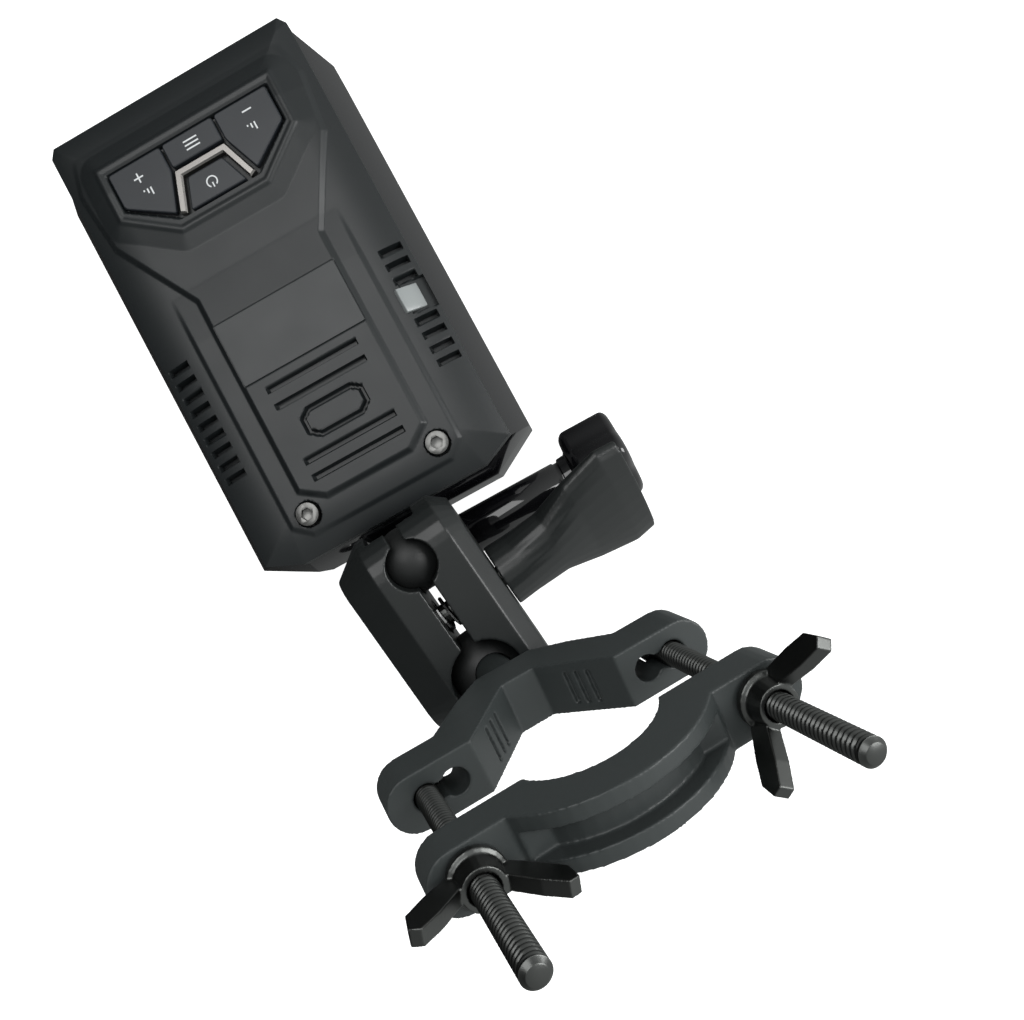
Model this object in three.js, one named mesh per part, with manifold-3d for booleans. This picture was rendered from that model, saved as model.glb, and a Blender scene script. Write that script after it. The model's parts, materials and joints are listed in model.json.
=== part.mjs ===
// A radar detector lying display-down, with its ball arm and bar clamp standing behind it.
// Millimetres, +Z up. Z = 0 is the surface it lies on; +Y points from the clamp to the detector's far end.

import * as THREE from 'three';
import { mergeVertices } from 'three/addons/utils/BufferGeometryUtils.js';
import Module from 'manifold-3d';

const wasm = await Module();
wasm.setup();

// ---------- driving dimensions ----------

const GAP = 0.3;                    // clearance between neighbouring pieces

// detector case
const SEAM_Z = 24;                  // where the front shell meets the rear cover
const CASE_TOP = 32;                // outer face of the rear cover
const SEAM_HALF = 31;               // half width at the seam
const FLARE_HALF = 35.6;            // half width of the flared front shell
const WALL = 2;
const END_TOP = 53.7;               // far end of the seam
const END_BOTTOM = -57.2;           // end of the seam beside the mount
const SIDE_BOTTOM = -53.7;          // where the bottom corner cuts start
const BOTTOM_HALF = 23;             // half width of the straight bottom end
const PLATEAU_HALF = 22.5;          // half width of the cover's flat top
const SCREW_X = 16.3;
const SCREW_Y = -48.2;
const BOSS_RADIUS = 4;

// keys, in the cover's top
const KEY_TOP = 32.4;
const KEY_BOTTOM = 29.3;
const KEY_TRAVEL_ROOM = 0.9;

// vents and the side window, on the cover's bevels
const VENT_PITCH = 3.43;
const VENT_WIDTH = 1.6;
const VENT_INNER = 24.2;
const VENT_OUTER = 29.2;
const VENT_FIRST_Y = -5.5;

// bracket and thumb screw
const THUMB_AXIS = new THREE.Vector3(0, -68, 12);
const PRONG = 2.9;                  // thickness of one prong
const PRONG_PITCH = 3.15;           // from one prong's middle to its neighbour's
const PRONG_RADIUS = 7;
const THUMB_SHAFT = 2.5;
const THUMB_SLEEVE = 5.25;
const THUMB_SLEEVE_END = 39.4;
const THUMB_KNOB_RADIUS = 10.6;
const THUMB_KNOB_LENGTH = 14;

// balls and arm
const UPPER_BALL = new THREE.Vector3(0, -68, 35.2);
const LOWER_BALL = new THREE.Vector3(2.5, -95.5, 30);
const UPPER_RADIUS = 7.5;
const LOWER_RADIUS = 8.5;
const COAT = 1.5;                   // thickness of a ball's rubber coat
const UPPER_STEM = 3.1;
const LOWER_STEM = 4;
const SPLIT_GAP = 3.2;              // between the arm's two halves
const ARM_ROLL = 6;                 // degrees the arm's bolt dips towards the knob
const RIGHT_HALF = 13.5;            // thickness of each arm half, from the split's middle
const LEFT_HALF = 15.5;
const RIGHT_TAPER = [10, 3];        // where each half's outer taper starts, and how far it draws in
const LEFT_TAPER = [8, 5];
const ARM_RIM = 2.2;                // material around each ball
const BOLT_RADIUS = 2.4;
const BOLT_END = 26;                // the arm bolt's end, inside the knob
const HEAD_RADIUS = 4.6;
const HEAD_DEPTH = 4;
const KNOB_NECK = 7.2;
const STEM_SLOTS = [6, 6.6];        // half widths of the end slots that the stems swing through
const SLOT_DEPTH = 4.8;             // how far the slots reach past the balls' middles
const PEEPHOLE = 5.4;               // radius of the round mouth where no stem comes out
const WING_ANGLE = -53;             // degrees
const SPRING_POCKET_RADIUS = 4.4;
const SPRING_POCKET_DEPTH = 3;
const SPRING_LENGTH = 8;
const SPRING_RADIUS = 3.5;
const SPRING_WIRE = 0.45;
const SPRING_TURNS = 4;

// clamp, in its own frame: X from bolt to bolt, Y along the gripped bar, Z towards the bolt tips
const CLAMP_ROLL = 17;              // degrees
const CLAMP_PITCH = 15.5;           // degrees
const BALL_TO_SEAT = 44;            // lower ball's centre to the saddle's bolt faces
const CLAMP_WIDTH = 10.6;           // along the bar
const CLAMP_HALF_LENGTH = 32.6;
const BOLT_X = 25.2;
const INNER_LOBE_X = 19.8;
const CLAMP_BOLT_RADIUS = 2.2;
const BOLT_TIP_Z = 57;
const VEE_DEPTH = 15;
const VEE_FLAT_HALF = 3.4;
const VEE_MOUTH_HALF = 14.6;
const SADDLE_THICK = 10;
const JAW_SEAT_Z = 22.2;            // the jaw's ears, on the saddle's side
const JAW_EAR_THICK = 7.8;
const JAW_INNER_RADIUS = 13.2;
const JAW_CENTRE_Z = 17.6;
const JAW_OUTER_RADIUS = 21.8;
const JAW_CHANNEL_WIDTH = 5;
const JAW_CHANNEL_DEPTH = 3.4;
const NUT_HEIGHT = 4.6;
const CLAMP_HEAD_RADIUS = 4;
const CLAMP_HEAD_DEPTH = 3.4;

// ---------- small geometry tools ----------

// A closed manifold from a three.js geometry.
function asManifold(geometry) {
  const bare = geometry.clone();
  bare.deleteAttribute('normal');
  bare.deleteAttribute('uv');
  const merged = mergeVertices(bare, 1e-4);
  const index = merged.index.array;
  const triVerts = new Uint32Array(index.length);
  triVerts.set(index);
  const vertProperties = new Float32Array(merged.attributes.position.array);
  return new wasm.Manifold(new wasm.Mesh({ numProp: 3, vertProperties, triVerts }));
}

// A three.js geometry from a manifold, with flat normals.
function asGeometry(manifold) {
  const mesh = manifold.getMesh();
  const positions = [];
  for (let i = 0; i < mesh.vertProperties.length; i += mesh.numProp) {
    positions.push(mesh.vertProperties[i], mesh.vertProperties[i + 1], mesh.vertProperties[i + 2]);
  }
  const geometry = new THREE.BufferGeometry();
  geometry.setAttribute('position', new THREE.Float32BufferAttribute(positions, 3));
  geometry.setIndex(Array.from(mesh.triVerts));
  const flat = geometry.toNonIndexed();
  flat.computeVertexNormals();
  return flat;
}

// The first geometry joined to the others.
function join(first, ...others) {
  return asGeometry(others.reduce((whole, other) => whole.add(asManifold(other)), asManifold(first)));
}

// The first geometry with the others cut away.
function cut(first, ...others) {
  return asGeometry(others.reduce((whole, other) => whole.subtract(asManifold(other)), asManifold(first)));
}

// The part of the first geometry that lies inside the second.
function keep(first, second) {
  return asGeometry(asManifold(first).intersect(asManifold(second)));
}

// A flat outline raised from z = low to z = high. Outline points are [x, y].
function slab(outline, low, high) {
  const shape = new THREE.Shape(outline.map(([x, y]) => new THREE.Vector2(x, y)));
  const geometry = new THREE.ExtrudeGeometry(shape, { depth: high - low, bevelEnabled: false });
  return geometry.translate(0, 0, low);
}

// A closed body through outlines with the same number of points, from the lowest layer to the highest.
function stack(layers) {
  const positions = [];
  const count = layers[0].outline.length;
  const corner = (layer, i) => {
    const [x, y] = layer.outline[i % count];
    return [x, y, layer.z];
  };
  for (let level = 0; level + 1 < layers.length; level += 1) {
    for (let i = 0; i < count; i += 1) {
      const a = corner(layers[level], i);
      const b = corner(layers[level], i + 1);
      const c = corner(layers[level + 1], i + 1);
      const d = corner(layers[level + 1], i);
      positions.push(...a, ...b, ...c, ...a, ...c, ...d);
    }
  }
  const flat = layers[0].outline.map(([x, y]) => new THREE.Vector2(x, y));
  for (const [i, j, k] of THREE.ShapeUtils.triangulateShape(flat, [])) {
    const low = layers[0];
    const high = layers[layers.length - 1];
    positions.push(...corner(low, k), ...corner(low, j), ...corner(low, i));
    positions.push(...corner(high, i), ...corner(high, j), ...corner(high, k));
  }
  const geometry = new THREE.BufferGeometry();
  geometry.setAttribute('position', new THREE.Float32BufferAttribute(positions, 3));
  geometry.computeVertexNormals();
  return geometry;
}

// A rectangular block between two opposite corners.
function block(x0, y0, z0, x1, y1, z1) {
  return slab([[x0, y0], [x1, y0], [x1, y1], [x0, y1]], z0, z1);
}

// The points of an arc, in degrees, counter-clockwise when the end is larger than the start.
function arc(cx, cy, radius, start, end, steps) {
  const points = [];
  for (let i = 0; i <= steps; i += 1) {
    const angle = THREE.MathUtils.degToRad(start + ((end - start) * i) / steps);
    points.push([cx + radius * Math.cos(angle), cy + radius * Math.sin(angle)]);
  }
  return points;
}

// A full circle as an outline, without repeating its first point.
function circle(cx, cy, radius, sides) {
  return arc(cx, cy, radius, 0, 360 - 360 / sides, sides - 1);
}

// A round rod along Z.
function rod(radius, low, high, sides = 28) {
  return slab(circle(0, 0, radius, sides), low, high);
}

// A body turned about Z from a profile of [radius, z] points that starts and ends on the axis.
function turned(profile, sides = 28) {
  const points = profile.map(([radius, z]) => new THREE.Vector2(radius, z));
  return new THREE.LatheGeometry(points, sides).rotateX(Math.PI / 2);
}

// A ball about the origin.
function ball(radius, sides = 28) {
  return new THREE.SphereGeometry(radius, sides, sides / 2).rotateX(Math.PI / 2);
}

// The frame with the given origin, X axis and Z axis (made square to X).
function frameOf(origin, xAxis, zAxis) {
  const x = xAxis.clone().normalize();
  const y = new THREE.Vector3().crossVectors(zAxis, x).normalize();
  const z = new THREE.Vector3().crossVectors(x, y);
  return new THREE.Matrix4().makeBasis(x, y, z).setPosition(origin);
}

const AXIS_X = new THREE.Vector3(1, 0, 0);
const AXIS_Y = new THREE.Vector3(0, 1, 0);
const AXIS_Z = new THREE.Vector3(0, 0, 1);

// Turns a body built along Z so that it lies along X.
function alongX(geometry) {
  return geometry.rotateY(Math.PI / 2);
}

// ---------- frames of the mount ----------

const clampTurn = new THREE.Matrix4()
  .makeRotationY(THREE.MathUtils.degToRad(CLAMP_ROLL))
  .multiply(new THREE.Matrix4().makeRotationX(THREE.MathUtils.degToRad(CLAMP_PITCH)));
const clampX = AXIS_X.clone().applyMatrix4(clampTurn);
const clampZ = AXIS_Z.clone().applyMatrix4(clampTurn);
const clampOrigin = LOWER_BALL.clone().addScaledVector(clampZ, BALL_TO_SEAT);
const clampFrame = frameOf(clampOrigin, clampX, clampZ);

// The arm's frame: Y from the lower ball to the upper one, X square to its split, Z across its edge.
const armY = UPPER_BALL.clone().sub(LOWER_BALL).normalize();
const armDip = new THREE.Vector3(1, 0, -Math.tan(THREE.MathUtils.degToRad(ARM_ROLL)));
const armZ = new THREE.Vector3().crossVectors(armDip, armY).normalize();
const armX = new THREE.Vector3().crossVectors(armY, armZ);
const armMiddle = UPPER_BALL.clone().add(LOWER_BALL).multiplyScalar(0.5);
const armFrame = frameOf(armMiddle, armX, armZ);
const armReach = UPPER_BALL.distanceTo(LOWER_BALL) / 2;

// Each socket: where it is along the arm, its ball radius, its slot, which way the arm ends there (along Y),
// and which way the ball's stem comes out (along Z).
const ARM_SOCKETS = [
  [armReach, UPPER_RADIUS, STEM_SLOTS[0], 1, -1],
  [-armReach, LOWER_RADIUS, STEM_SLOTS[1], -1, 1],
];

// ---------- the part ----------

const part = new THREE.Group();

function add(name, geometry, colour, roughness, metalness) {
  const material = new THREE.MeshStandardMaterial({ color: colour, roughness, metalness });
  const mesh = new THREE.Mesh(geometry, material);
  mesh.name = name;
  part.add(mesh);
}

// ---------- detector case ----------

// The case outline at one height, pulled in by inset on every side.
function caseOutline(halfWidth, topY, topCutX, topCutY, sideY, endHalf, endY, inset) {
  const w = halfWidth - inset;
  const top = topY - inset;
  const end = endY + inset;
  return [
    [w, topCutY], [topCutX - inset, top], [-topCutX + inset, top], [-w, topCutY],
    [-w, sideY + inset / 2], [-endHalf + inset / 2, end], [endHalf - inset / 2, end], [w, sideY + inset / 2],
  ];
}

function seamOutline(inset) {
  return caseOutline(SEAM_HALF, END_TOP, 29.5, 51.6, SIDE_BOTTOM, BOTTOM_HALF, END_BOTTOM, inset);
}

function flareOutline(inset) {
  return caseOutline(FLARE_HALF, 54.0, 30.4, 44, -52.8, 24, -59.3, inset);
}

// A boss or hole around one case screw.
function atScrew(side, geometry) {
  return geometry.translate(side * SCREW_X, SCREW_Y, 0);
}

function frontShell() {
  const outside = stack([
    { z: 0, outline: flareOutline(2.6) },
    { z: 3, outline: flareOutline(0) },
    { z: 16, outline: flareOutline(0) },
    { z: SEAM_Z, outline: seamOutline(0) },
  ]);
  const inside = stack([
    { z: WALL, outline: flareOutline(4) },
    { z: 15, outline: flareOutline(WALL) },
    { z: SEAM_Z, outline: seamOutline(WALL) },
    { z: SEAM_Z + 1, outline: seamOutline(WALL) },
  ]);
  const window = block(-28.5, -44.5, -1, 28.5, 42.5, WALL + 1);
  let shell = cut(outside, inside, window);
  for (const side of [-1, 1]) {
    const boss = atScrew(side, rod(BOSS_RADIUS, WALL - 0.5, SEAM_Z - GAP));
    const hole = atScrew(side, rod(1.6, 11, SEAM_Z + 1, 16));
    shell = cut(join(shell, boss), hole);
  }
  const socket = block(-6.3, 45, 8.7, 6.3, 60, 15.3);
  return cut(shell, socket);
}

add('front_shell', frontShell(), 0x0b0c0d, 0.16, 0);
add('display_lens', block(-28.2, -44.2, 0.4, 28.2, 42.2, 1.9), 0x101215, 0.06, 0);
add('display_panel', block(-27, -41, 2.4, 27, 38, 4.9), 0x1a1d22, 0.4, 0);

// One key's outline; keys are mirrored about the middle.
const volumeKey = [[6.95, 39.5], [6.95, 33.5], [10.3, 24.4], [20.3, 31], [20.3, 39.5]];
const menuKey = [[-6.45, 33.6], [6.45, 33.6], [6.45, 39.5], [-6.45, 39.5]];
const powerKey = [[-7.1, 23.2], [7.1, 23.2], [4.5, 30.3], [-4.5, 30.3]];
const trimBand = [
  [-9.7, 24.0], [-8.1, 23.2], [-5.2, 31.1], [5.2, 31.1], [8.1, 23.2], [9.7, 24.0], [6.5, 32.9], [-6.5, 32.9],
];
const keyOpening = [
  [-9.9, 22.8], [9.9, 22.8], [20.8, 30.7], [20.8, 40], [-20.8, 40], [-20.8, 30.7],
];

function mirrored(outline) {
  return outline.map(([x, y]) => [-x, y]).reverse();
}

// The cover's bevel, as a frame on its outer face: X runs down the slope, Z points out.
const BEVEL_LOW_Z = SEAM_Z + 2.6;
const bevelRun = SEAM_HALF - 0.6 - PLATEAU_HALF;
const bevelDrop = CASE_TOP - BEVEL_LOW_Z;
function bevelFrame(y) {
  const middle = new THREE.Vector3(PLATEAU_HALF + bevelRun / 2, y, (CASE_TOP + BEVEL_LOW_Z) / 2);
  const down = new THREE.Vector3(bevelRun, 0, -bevelDrop);
  const out = new THREE.Vector3(bevelDrop, 0, bevelRun);
  return frameOf(middle, down, out);
}
const WINDOW_Y = -17;
const windowFrame = bevelFrame(WINDOW_Y);

function topOutline(inset) {
  return caseOutline(PLATEAU_HALF, 50.2, 20.5, 48.2, -50.5, 18.5, -53.8, inset);
}

function rearCover() {
  const low = SEAM_Z + GAP;
  const outside = stack([
    { z: low, outline: seamOutline(0) },
    { z: BEVEL_LOW_Z, outline: seamOutline(0.6) },
    { z: CASE_TOP, outline: topOutline(0) },
  ]);
  const inside = stack([
    { z: low - 1, outline: seamOutline(WALL) },
    { z: BEVEL_LOW_Z - 1, outline: seamOutline(WALL + 0.6) },
    { z: CASE_TOP - WALL, outline: topOutline(0.9) },
  ]);
  let cover = cut(outside, inside);
  for (const side of [-1, 1]) {
    const boss = atScrew(side, rod(BOSS_RADIUS, low, CASE_TOP - 1));
    const hole = atScrew(side, rod(1.6, low - 1, CASE_TOP, 16));
    const counterbore = atScrew(side, rod(2.95, CASE_TOP - 2.5, CASE_TOP + 1, 24));
    cover = cut(join(cover, boss), hole, counterbore);
  }
  cover = cut(cover, slab(keyOpening, CASE_TOP - 4, CASE_TOP + 1));
  cover = cut(cover, block(-15, -17.2, CASE_TOP - 0.7, 15, -1.4, CASE_TOP + 1));
  const vents = [];
  for (let i = 0; i < 9; i += 1) {
    const y = VENT_FIRST_Y - VENT_PITCH * i;
    const half = VENT_WIDTH / 2;
    vents.push(block(-VENT_OUTER, y - half, SEAM_Z + 1, -VENT_INNER, y + half, CASE_TOP + 1));
    const besideWindow = Math.abs(y - WINDOW_Y) < 4.2;
    if (!besideWindow) {
      vents.push(block(VENT_INNER, y - half, SEAM_Z + 1, VENT_OUTER, y + half, CASE_TOP + 1));
    }
  }
  const windowHole = block(-3.1, -3.2, -4, 3.1, 3.2, 2).applyMatrix4(windowFrame);
  return cut(cover, ...vents, windowHole);
}

add('rear_cover', rearCover(), 0x3d4243, 0.62, 0);
add('label_plate', block(-14.7, -16.9, CASE_TOP - 0.4, 14.7, -1.7, CASE_TOP + 0.1), 0x43484a, 0.5, 0);
add('sensor_window', block(-2.8, -2.9, -1.3, 2.8, 2.9, 0.1).applyMatrix4(windowFrame), 0x9fb0b0, 0.05, 0);

const keys = {
  button_volume_up: mirrored(volumeKey),
  button_menu: menuKey,
  button_volume_down: volumeKey,
  button_power: powerKey,
};
for (const [name, outline] of Object.entries(keys)) {
  add(name, slab(outline, KEY_BOTTOM, KEY_TOP), 0x33373b, 0.5, 0);
}
add('power_trim', slab(trimBand, KEY_BOTTOM, KEY_TOP + 0.3), 0xc9c3b4, 0.2, 1);

for (const [name, side] of [['case_screw_left', -1], ['case_screw_right', 1]]) {
  const head = rod(2.55, CASE_TOP - 2.2, CASE_TOP - 0.2, 24);
  const shank = rod(1.25, 12, CASE_TOP - 2, 16);
  const hexSocket = rod(1.45, CASE_TOP - 1.5, CASE_TOP, 6);
  add(name, atScrew(side, cut(join(head, shank), hexSocket)), 0x77797a, 0.3, 0.9);
}

// ---------- inside the detector ----------

const BOARD_LOW = 21.6;
const BOARD_HIGH = 23.2;
add('circuit_board', block(-26, -42, BOARD_LOW, 26, 46, BOARD_HIGH), 0x1f5a3a, 0.5, 0);
const MAT_TOP = KEY_BOTTOM - KEY_TRAVEL_ROOM;
add('keypad_mat', block(-20.5, 22.4, BOARD_HIGH + GAP, 20.5, 40.2, MAT_TOP), 0x242424, 0.8, 0);

// The light sensor stands on the board under the side window.
const sensorBody = turned([[0, 0], [2, 0], [2, 1.2], [1.6, 2.2], [0.9, 2.9], [0, 3.2]], 20);
add('light_sensor', sensorBody.translate(23.6, WINDOW_Y, BOARD_HIGH + GAP), 0x8f8a72, 0.15, 0);

// The horn looks out of the far end; it is an open, flared box.
function hornAntenna() {
  const mouth = (half) => {
    const rise = half * 0.45;
    return [[-half, -rise], [half, -rise], [half, rise], [-half, rise]];
  };
  const outside = stack([
    { z: 0, outline: mouth(9) }, { z: 8, outline: mouth(9) }, { z: 30, outline: mouth(17) },
  ]);
  const inside = stack([
    { z: 1.5, outline: mouth(7.8) }, { z: 8, outline: mouth(7.8) }, { z: 31, outline: mouth(16.2) },
  ]);
  return cut(outside, inside).applyMatrix4(frameOf(new THREE.Vector3(0, 9, 13.2), AXIS_X, AXIS_Y));
}
add('horn_antenna', hornAntenna(), 0xb9b6a8, 0.35, 0.9);

const speakerProfile = [
  [0, 0], [14, 0], [14, 1.8], [8, 5], [8, 8.5], [0, 8.5],
];
add('speaker', turned(speakerProfile, 32).translate(0, -24, 6), 0x1c1c1c, 0.6, 0);

// The supply socket's shell, open towards the far end.
const socketShell = cut(block(-6, 41.5, 9, 6, 52.2, 15), block(-4.8, 43, 10.2, 4.8, 53, 13.8));
add('power_socket', socketShell, 0x8d9092, 0.35, 0.8);

// ---------- bracket on the detector's end ----------

// One prong about the thumb screw's axis: a round end, and a straight tab that reaches along X.
function prong(middle, reach) {
  const outline = [...arc(0, 0, PRONG_RADIUS, 90, 270, 12), [reach, -PRONG_RADIUS], [reach, PRONG_RADIUS]];
  return slab(outline, middle - PRONG / 2, middle + PRONG / 2);
}

// The thumb screw's frame: Z along the axis (the detector's X), X towards the part that carries the prongs.
function thumbFrame(towards) {
  return frameOf(THUMB_AXIS, towards, AXIS_X);
}

function screwHole(radius) {
  return rod(radius, -30, 30, 24).applyMatrix4(thumbFrame(AXIS_Y));
}

function unitBracket() {
  const plateY = END_BOTTOM - 2.4;
  const plate = block(-9.5, plateY - 0.9, 5.5, 9.5, plateY, 20.3);
  const tabs = [-PRONG_PITCH, PRONG_PITCH].map((x) => prong(x, 7.7).applyMatrix4(thumbFrame(AXIS_Y)));
  return cut(join(plate, ...tabs), screwHole(THUMB_SHAFT + GAP));
}

add('unit_bracket', unitBracket(), 0x2f363c, 0.5, 0);

// ---------- adapter with three prongs and the upper ball's stem ----------

const HUB_LOW = THUMB_AXIS.z + PRONG_RADIUS + GAP;
const HUB_HIGH = HUB_LOW + 2.2;
const NUT_BOSS_END = -11.4;

function ballAdapter() {
  const tabs = [-2 * PRONG_PITCH, 0, 2 * PRONG_PITCH].map((x) =>
    prong(x, PRONG_RADIUS + 1).applyMatrix4(thumbFrame(AXIS_Z)));
  const half = 2 * PRONG_PITCH + PRONG / 2;
  const hub = block(-half, THUMB_AXIS.y - 6.4, HUB_LOW, half, THUMB_AXIS.y + 6.4, HUB_HIGH);
  const nutBoss = rod(6.2, NUT_BOSS_END, -half + 0.5, 24).applyMatrix4(thumbFrame(AXIS_Z));
  const stem = rod(UPPER_STEM, HUB_HIGH - 0.5, UPPER_BALL.z).translate(UPPER_BALL.x, UPPER_BALL.y, 0);
  const core = ball(UPPER_RADIUS - COAT - GAP).translate(...UPPER_BALL.toArray());
  const solid = join(hub, ...tabs, nutBoss, stem, core);
  return cut(solid, screwHole(THUMB_SHAFT + GAP));
}

add('ball_adapter', ballAdapter(), 0x24282b, 0.5, 0);

// A rubber coat around a ball's core, with a hole for the stem that leaves along Z.
function coat(radius, stemRadius) {
  const hole = rod(stemRadius + GAP, 0, radius + 2);
  return cut(ball(radius), ball(radius - COAT), hole);
}

const upperCoatFrame = frameOf(UPPER_BALL, AXIS_X, AXIS_Z.clone().negate());
add('upper_ball_coat', coat(UPPER_RADIUS, UPPER_STEM).applyMatrix4(upperCoatFrame), 0x1c1e1f, 0.75, 0);
const lowerCoatFrame = frameOf(LOWER_BALL, clampX, clampZ);
add('lower_ball_coat', coat(LOWER_RADIUS, LOWER_STEM).applyMatrix4(lowerCoatFrame), 0x1c1e1f, 0.75, 0);

// The thumb screw: thin through the prongs, then a round sleeve, then a lobed knob.
function thumbScrew() {
  const sleeveStart = 2 * PRONG_PITCH + PRONG / 2 + GAP;
  const shaft = rod(THUMB_SHAFT, -16.5, sleeveStart + 1, 24);
  const sleeve = rod(THUMB_SLEEVE, sleeveStart, THUMB_SLEEVE_END);
  const lobes = [];
  for (let i = 0; i < 36; i += 1) {
    const angle = (2 * Math.PI * i) / 36;
    const radius = THUMB_KNOB_RADIUS - 1.3 + 1.3 * Math.cos(4 * angle);
    lobes.push([radius * Math.cos(angle), radius * Math.sin(angle)]);
  }
  const knobStart = THUMB_SLEEVE_END - 1;
  const knob = slab(lobes, knobStart, knobStart + THUMB_KNOB_LENGTH);
  return join(shaft, sleeve, knob).applyMatrix4(thumbFrame(AXIS_Y));
}

add('thumb_screw', thumbScrew(), 0x0d0e0f, 0.15, 0);

// The cap nut: a short hexagon with a dome, hollow for the screw's end.
function capNut() {
  const domeSteps = arc(0, 0, 4.3, 0, 90, 5).map(([r, z]) => [Math.max(r, 0), z + 15.4]);
  domeSteps[domeSteps.length - 1][0] = 0;
  const dome = turned([[0, 14.8], [4.3, 14.8], ...domeSteps], 24);
  const hexagon = rod(5, -NUT_BOSS_END + GAP, 15, 6);
  const bore = rod(THUMB_SHAFT + GAP, 0, 17.2, 24);
  const nut = cut(join(hexagon, dome), bore);
  return nut.applyMatrix4(frameOf(THUMB_AXIS, AXIS_Y, AXIS_X.clone().negate()));
}

add('cap_nut', capNut(), 0xc7cac9, 0.12, 1);

// ---------- arm ----------

// The arm's outline seen square to its split: a tapered bar with a round end about each ball.
function armOutline(inset) {
  const top = UPPER_RADIUS + ARM_RIM - inset;
  const bottom = LOWER_RADIUS + ARM_RIM - inset;
  const tilt = THREE.MathUtils.radToDeg(Math.asin((bottom - top) / (2 * armReach)));
  return [
    ...arc(armReach, 0, top, -90 + tilt, 90 - tilt, 14),
    ...arc(-armReach, 0, bottom, 90 - tilt, 270 + tilt, 14),
  ];
}

// Outlines above are drawn with the arm along X; this lays them into the arm's own Y-Z plane.
const splitFrame = frameOf(new THREE.Vector3(), AXIS_Y, AXIS_X);

// One half, on the side of positive X. The left half is mirrored afterwards.
// The left half also has a pocket for the bolt's head.
function armShell(half, [taperStart, taperInset], headPocket) {
  const inner = SPLIT_GAP / 2;
  const body = stack([
    { z: inner, outline: armOutline(0) },
    { z: taperStart, outline: armOutline(0) },
    { z: half, outline: armOutline(taperInset) },
  ]).applyMatrix4(splitFrame);
  const cuts = [
    alongX(rod(BOLT_RADIUS + GAP, 0, half + 1, 20)),
    alongX(rod(SPRING_POCKET_RADIUS, 0, inner + SPRING_POCKET_DEPTH, 20)),
  ];
  if (headPocket) {
    cuts.push(alongX(rod(HEAD_RADIUS + GAP, half - HEAD_DEPTH, half + 1, 6)));
  }
  for (const [y, radius, slot, end, stemSide] of ARM_SOCKETS) {
    const mouth = radius * 0.92;
    const depth = radius * 0.4;
    const beyond = radius + ARM_RIM + 1;
    const sorted = (a, b) => [Math.min(a, b), Math.max(a, b)];
    const [nearY, farY] = sorted(y, y + end * beyond);
    const [slotLow, slotHigh] = sorted(-stemSide * SLOT_DEPTH, stemSide * beyond);
    const [mouthLow, mouthHigh] = sorted(stemSide * depth, stemSide * beyond);
    const [holeLow, holeHigh] = sorted(0, -stemSide * beyond);
    cuts.push(ball(radius + GAP).translate(0, y, 0));
    cuts.push(block(0, nearY, slotLow, slot, farY, slotHigh));
    cuts.push(rod(mouth, mouthLow, mouthHigh).translate(0, y, 0));
    cuts.push(block(0, nearY, mouthLow, mouth, farY, mouthHigh));
    cuts.push(rod(PEEPHOLE, holeLow, holeHigh).translate(0, y, 0));
  }
  return cut(body, ...cuts);
}

// A mirrored copy across X = 0, with its triangles turned to face out again.
function flipX(geometry) {
  const from = geometry.attributes.position;
  const flipped = [];
  for (let i = 0; i < from.count; i += 3) {
    for (const corner of [i, i + 2, i + 1]) {
      flipped.push(-from.getX(corner), from.getY(corner), from.getZ(corner));
    }
  }
  const result = new THREE.BufferGeometry();
  result.setAttribute('position', new THREE.Float32BufferAttribute(flipped, 3));
  result.computeVertexNormals();
  return result;
}

add('arm_shell_right', armShell(RIGHT_HALF, RIGHT_TAPER, false).applyMatrix4(armFrame), 0x26292a, 0.45, 0);
add('arm_shell_left', flipX(armShell(LEFT_HALF, LEFT_TAPER, true)).applyMatrix4(armFrame), 0x141617, 0.3, 0);

// The arm's bolt: its head sits in the left half's pocket and its end is inside the knob.
const headLow = -LEFT_HALF + HEAD_DEPTH - GAP;
const armBolt = join(
  rod(BOLT_RADIUS, headLow - 1, BOLT_END, 20),
  rod(HEAD_RADIUS, headLow - 3.4, headLow, 6),
);
add('arm_bolt', alongX(armBolt).applyMatrix4(armFrame), 0x55585a, 0.35, 0.9);

// A coil about the arm's bolt that pushes the halves apart.
class Coil extends THREE.Curve {
  getPoint(t) {
    const angle = 2 * Math.PI * SPRING_TURNS * t;
    return new THREE.Vector3(
      (t - 0.5) * SPRING_LENGTH, SPRING_RADIUS * Math.cos(angle), SPRING_RADIUS * Math.sin(angle));
  }
}
const wire = new THREE.Shape(circle(0, 0, SPRING_WIRE, 6).map(([x, y]) => new THREE.Vector2(x, y)));
const spring = new THREE.ExtrudeGeometry(wire, { steps: 56, extrudePath: new Coil(), bevelEnabled: false });
add('arm_spring', spring.applyMatrix4(armFrame), 0x8a8c8d, 0.35, 0.9);

// The wing knob: a round neck that spreads into a flat wing.
function wingKnob() {
  const start = RIGHT_HALF + GAP;
  const oval = (wide, thick) => circle(0, 0, 1, 24).map(([x, y]) => [x * wide, y * thick]);
  const body = stack([
    { z: start, outline: oval(KNOB_NECK, KNOB_NECK) },
    { z: start + 5, outline: oval(KNOB_NECK, KNOB_NECK - 0.4) },
    { z: start + 13, outline: oval(8.4, 5.8) },
    { z: start + 21, outline: oval(12.6, 4.4) },
    { z: start + 30, outline: oval(15.2, 3.9) },
    { z: start + 35, outline: oval(14.4, 3.3) },
  ]);
  const bore = rod(BOLT_RADIUS + GAP, start - 1, BOLT_END + 1, 20);
  return alongX(cut(body, bore).rotateZ(THREE.MathUtils.degToRad(WING_ANGLE)));
}

add('wing_knob', wingKnob().applyMatrix4(armFrame), 0x1d2021, 0.5, 0);

// ---------- clamp ----------

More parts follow.
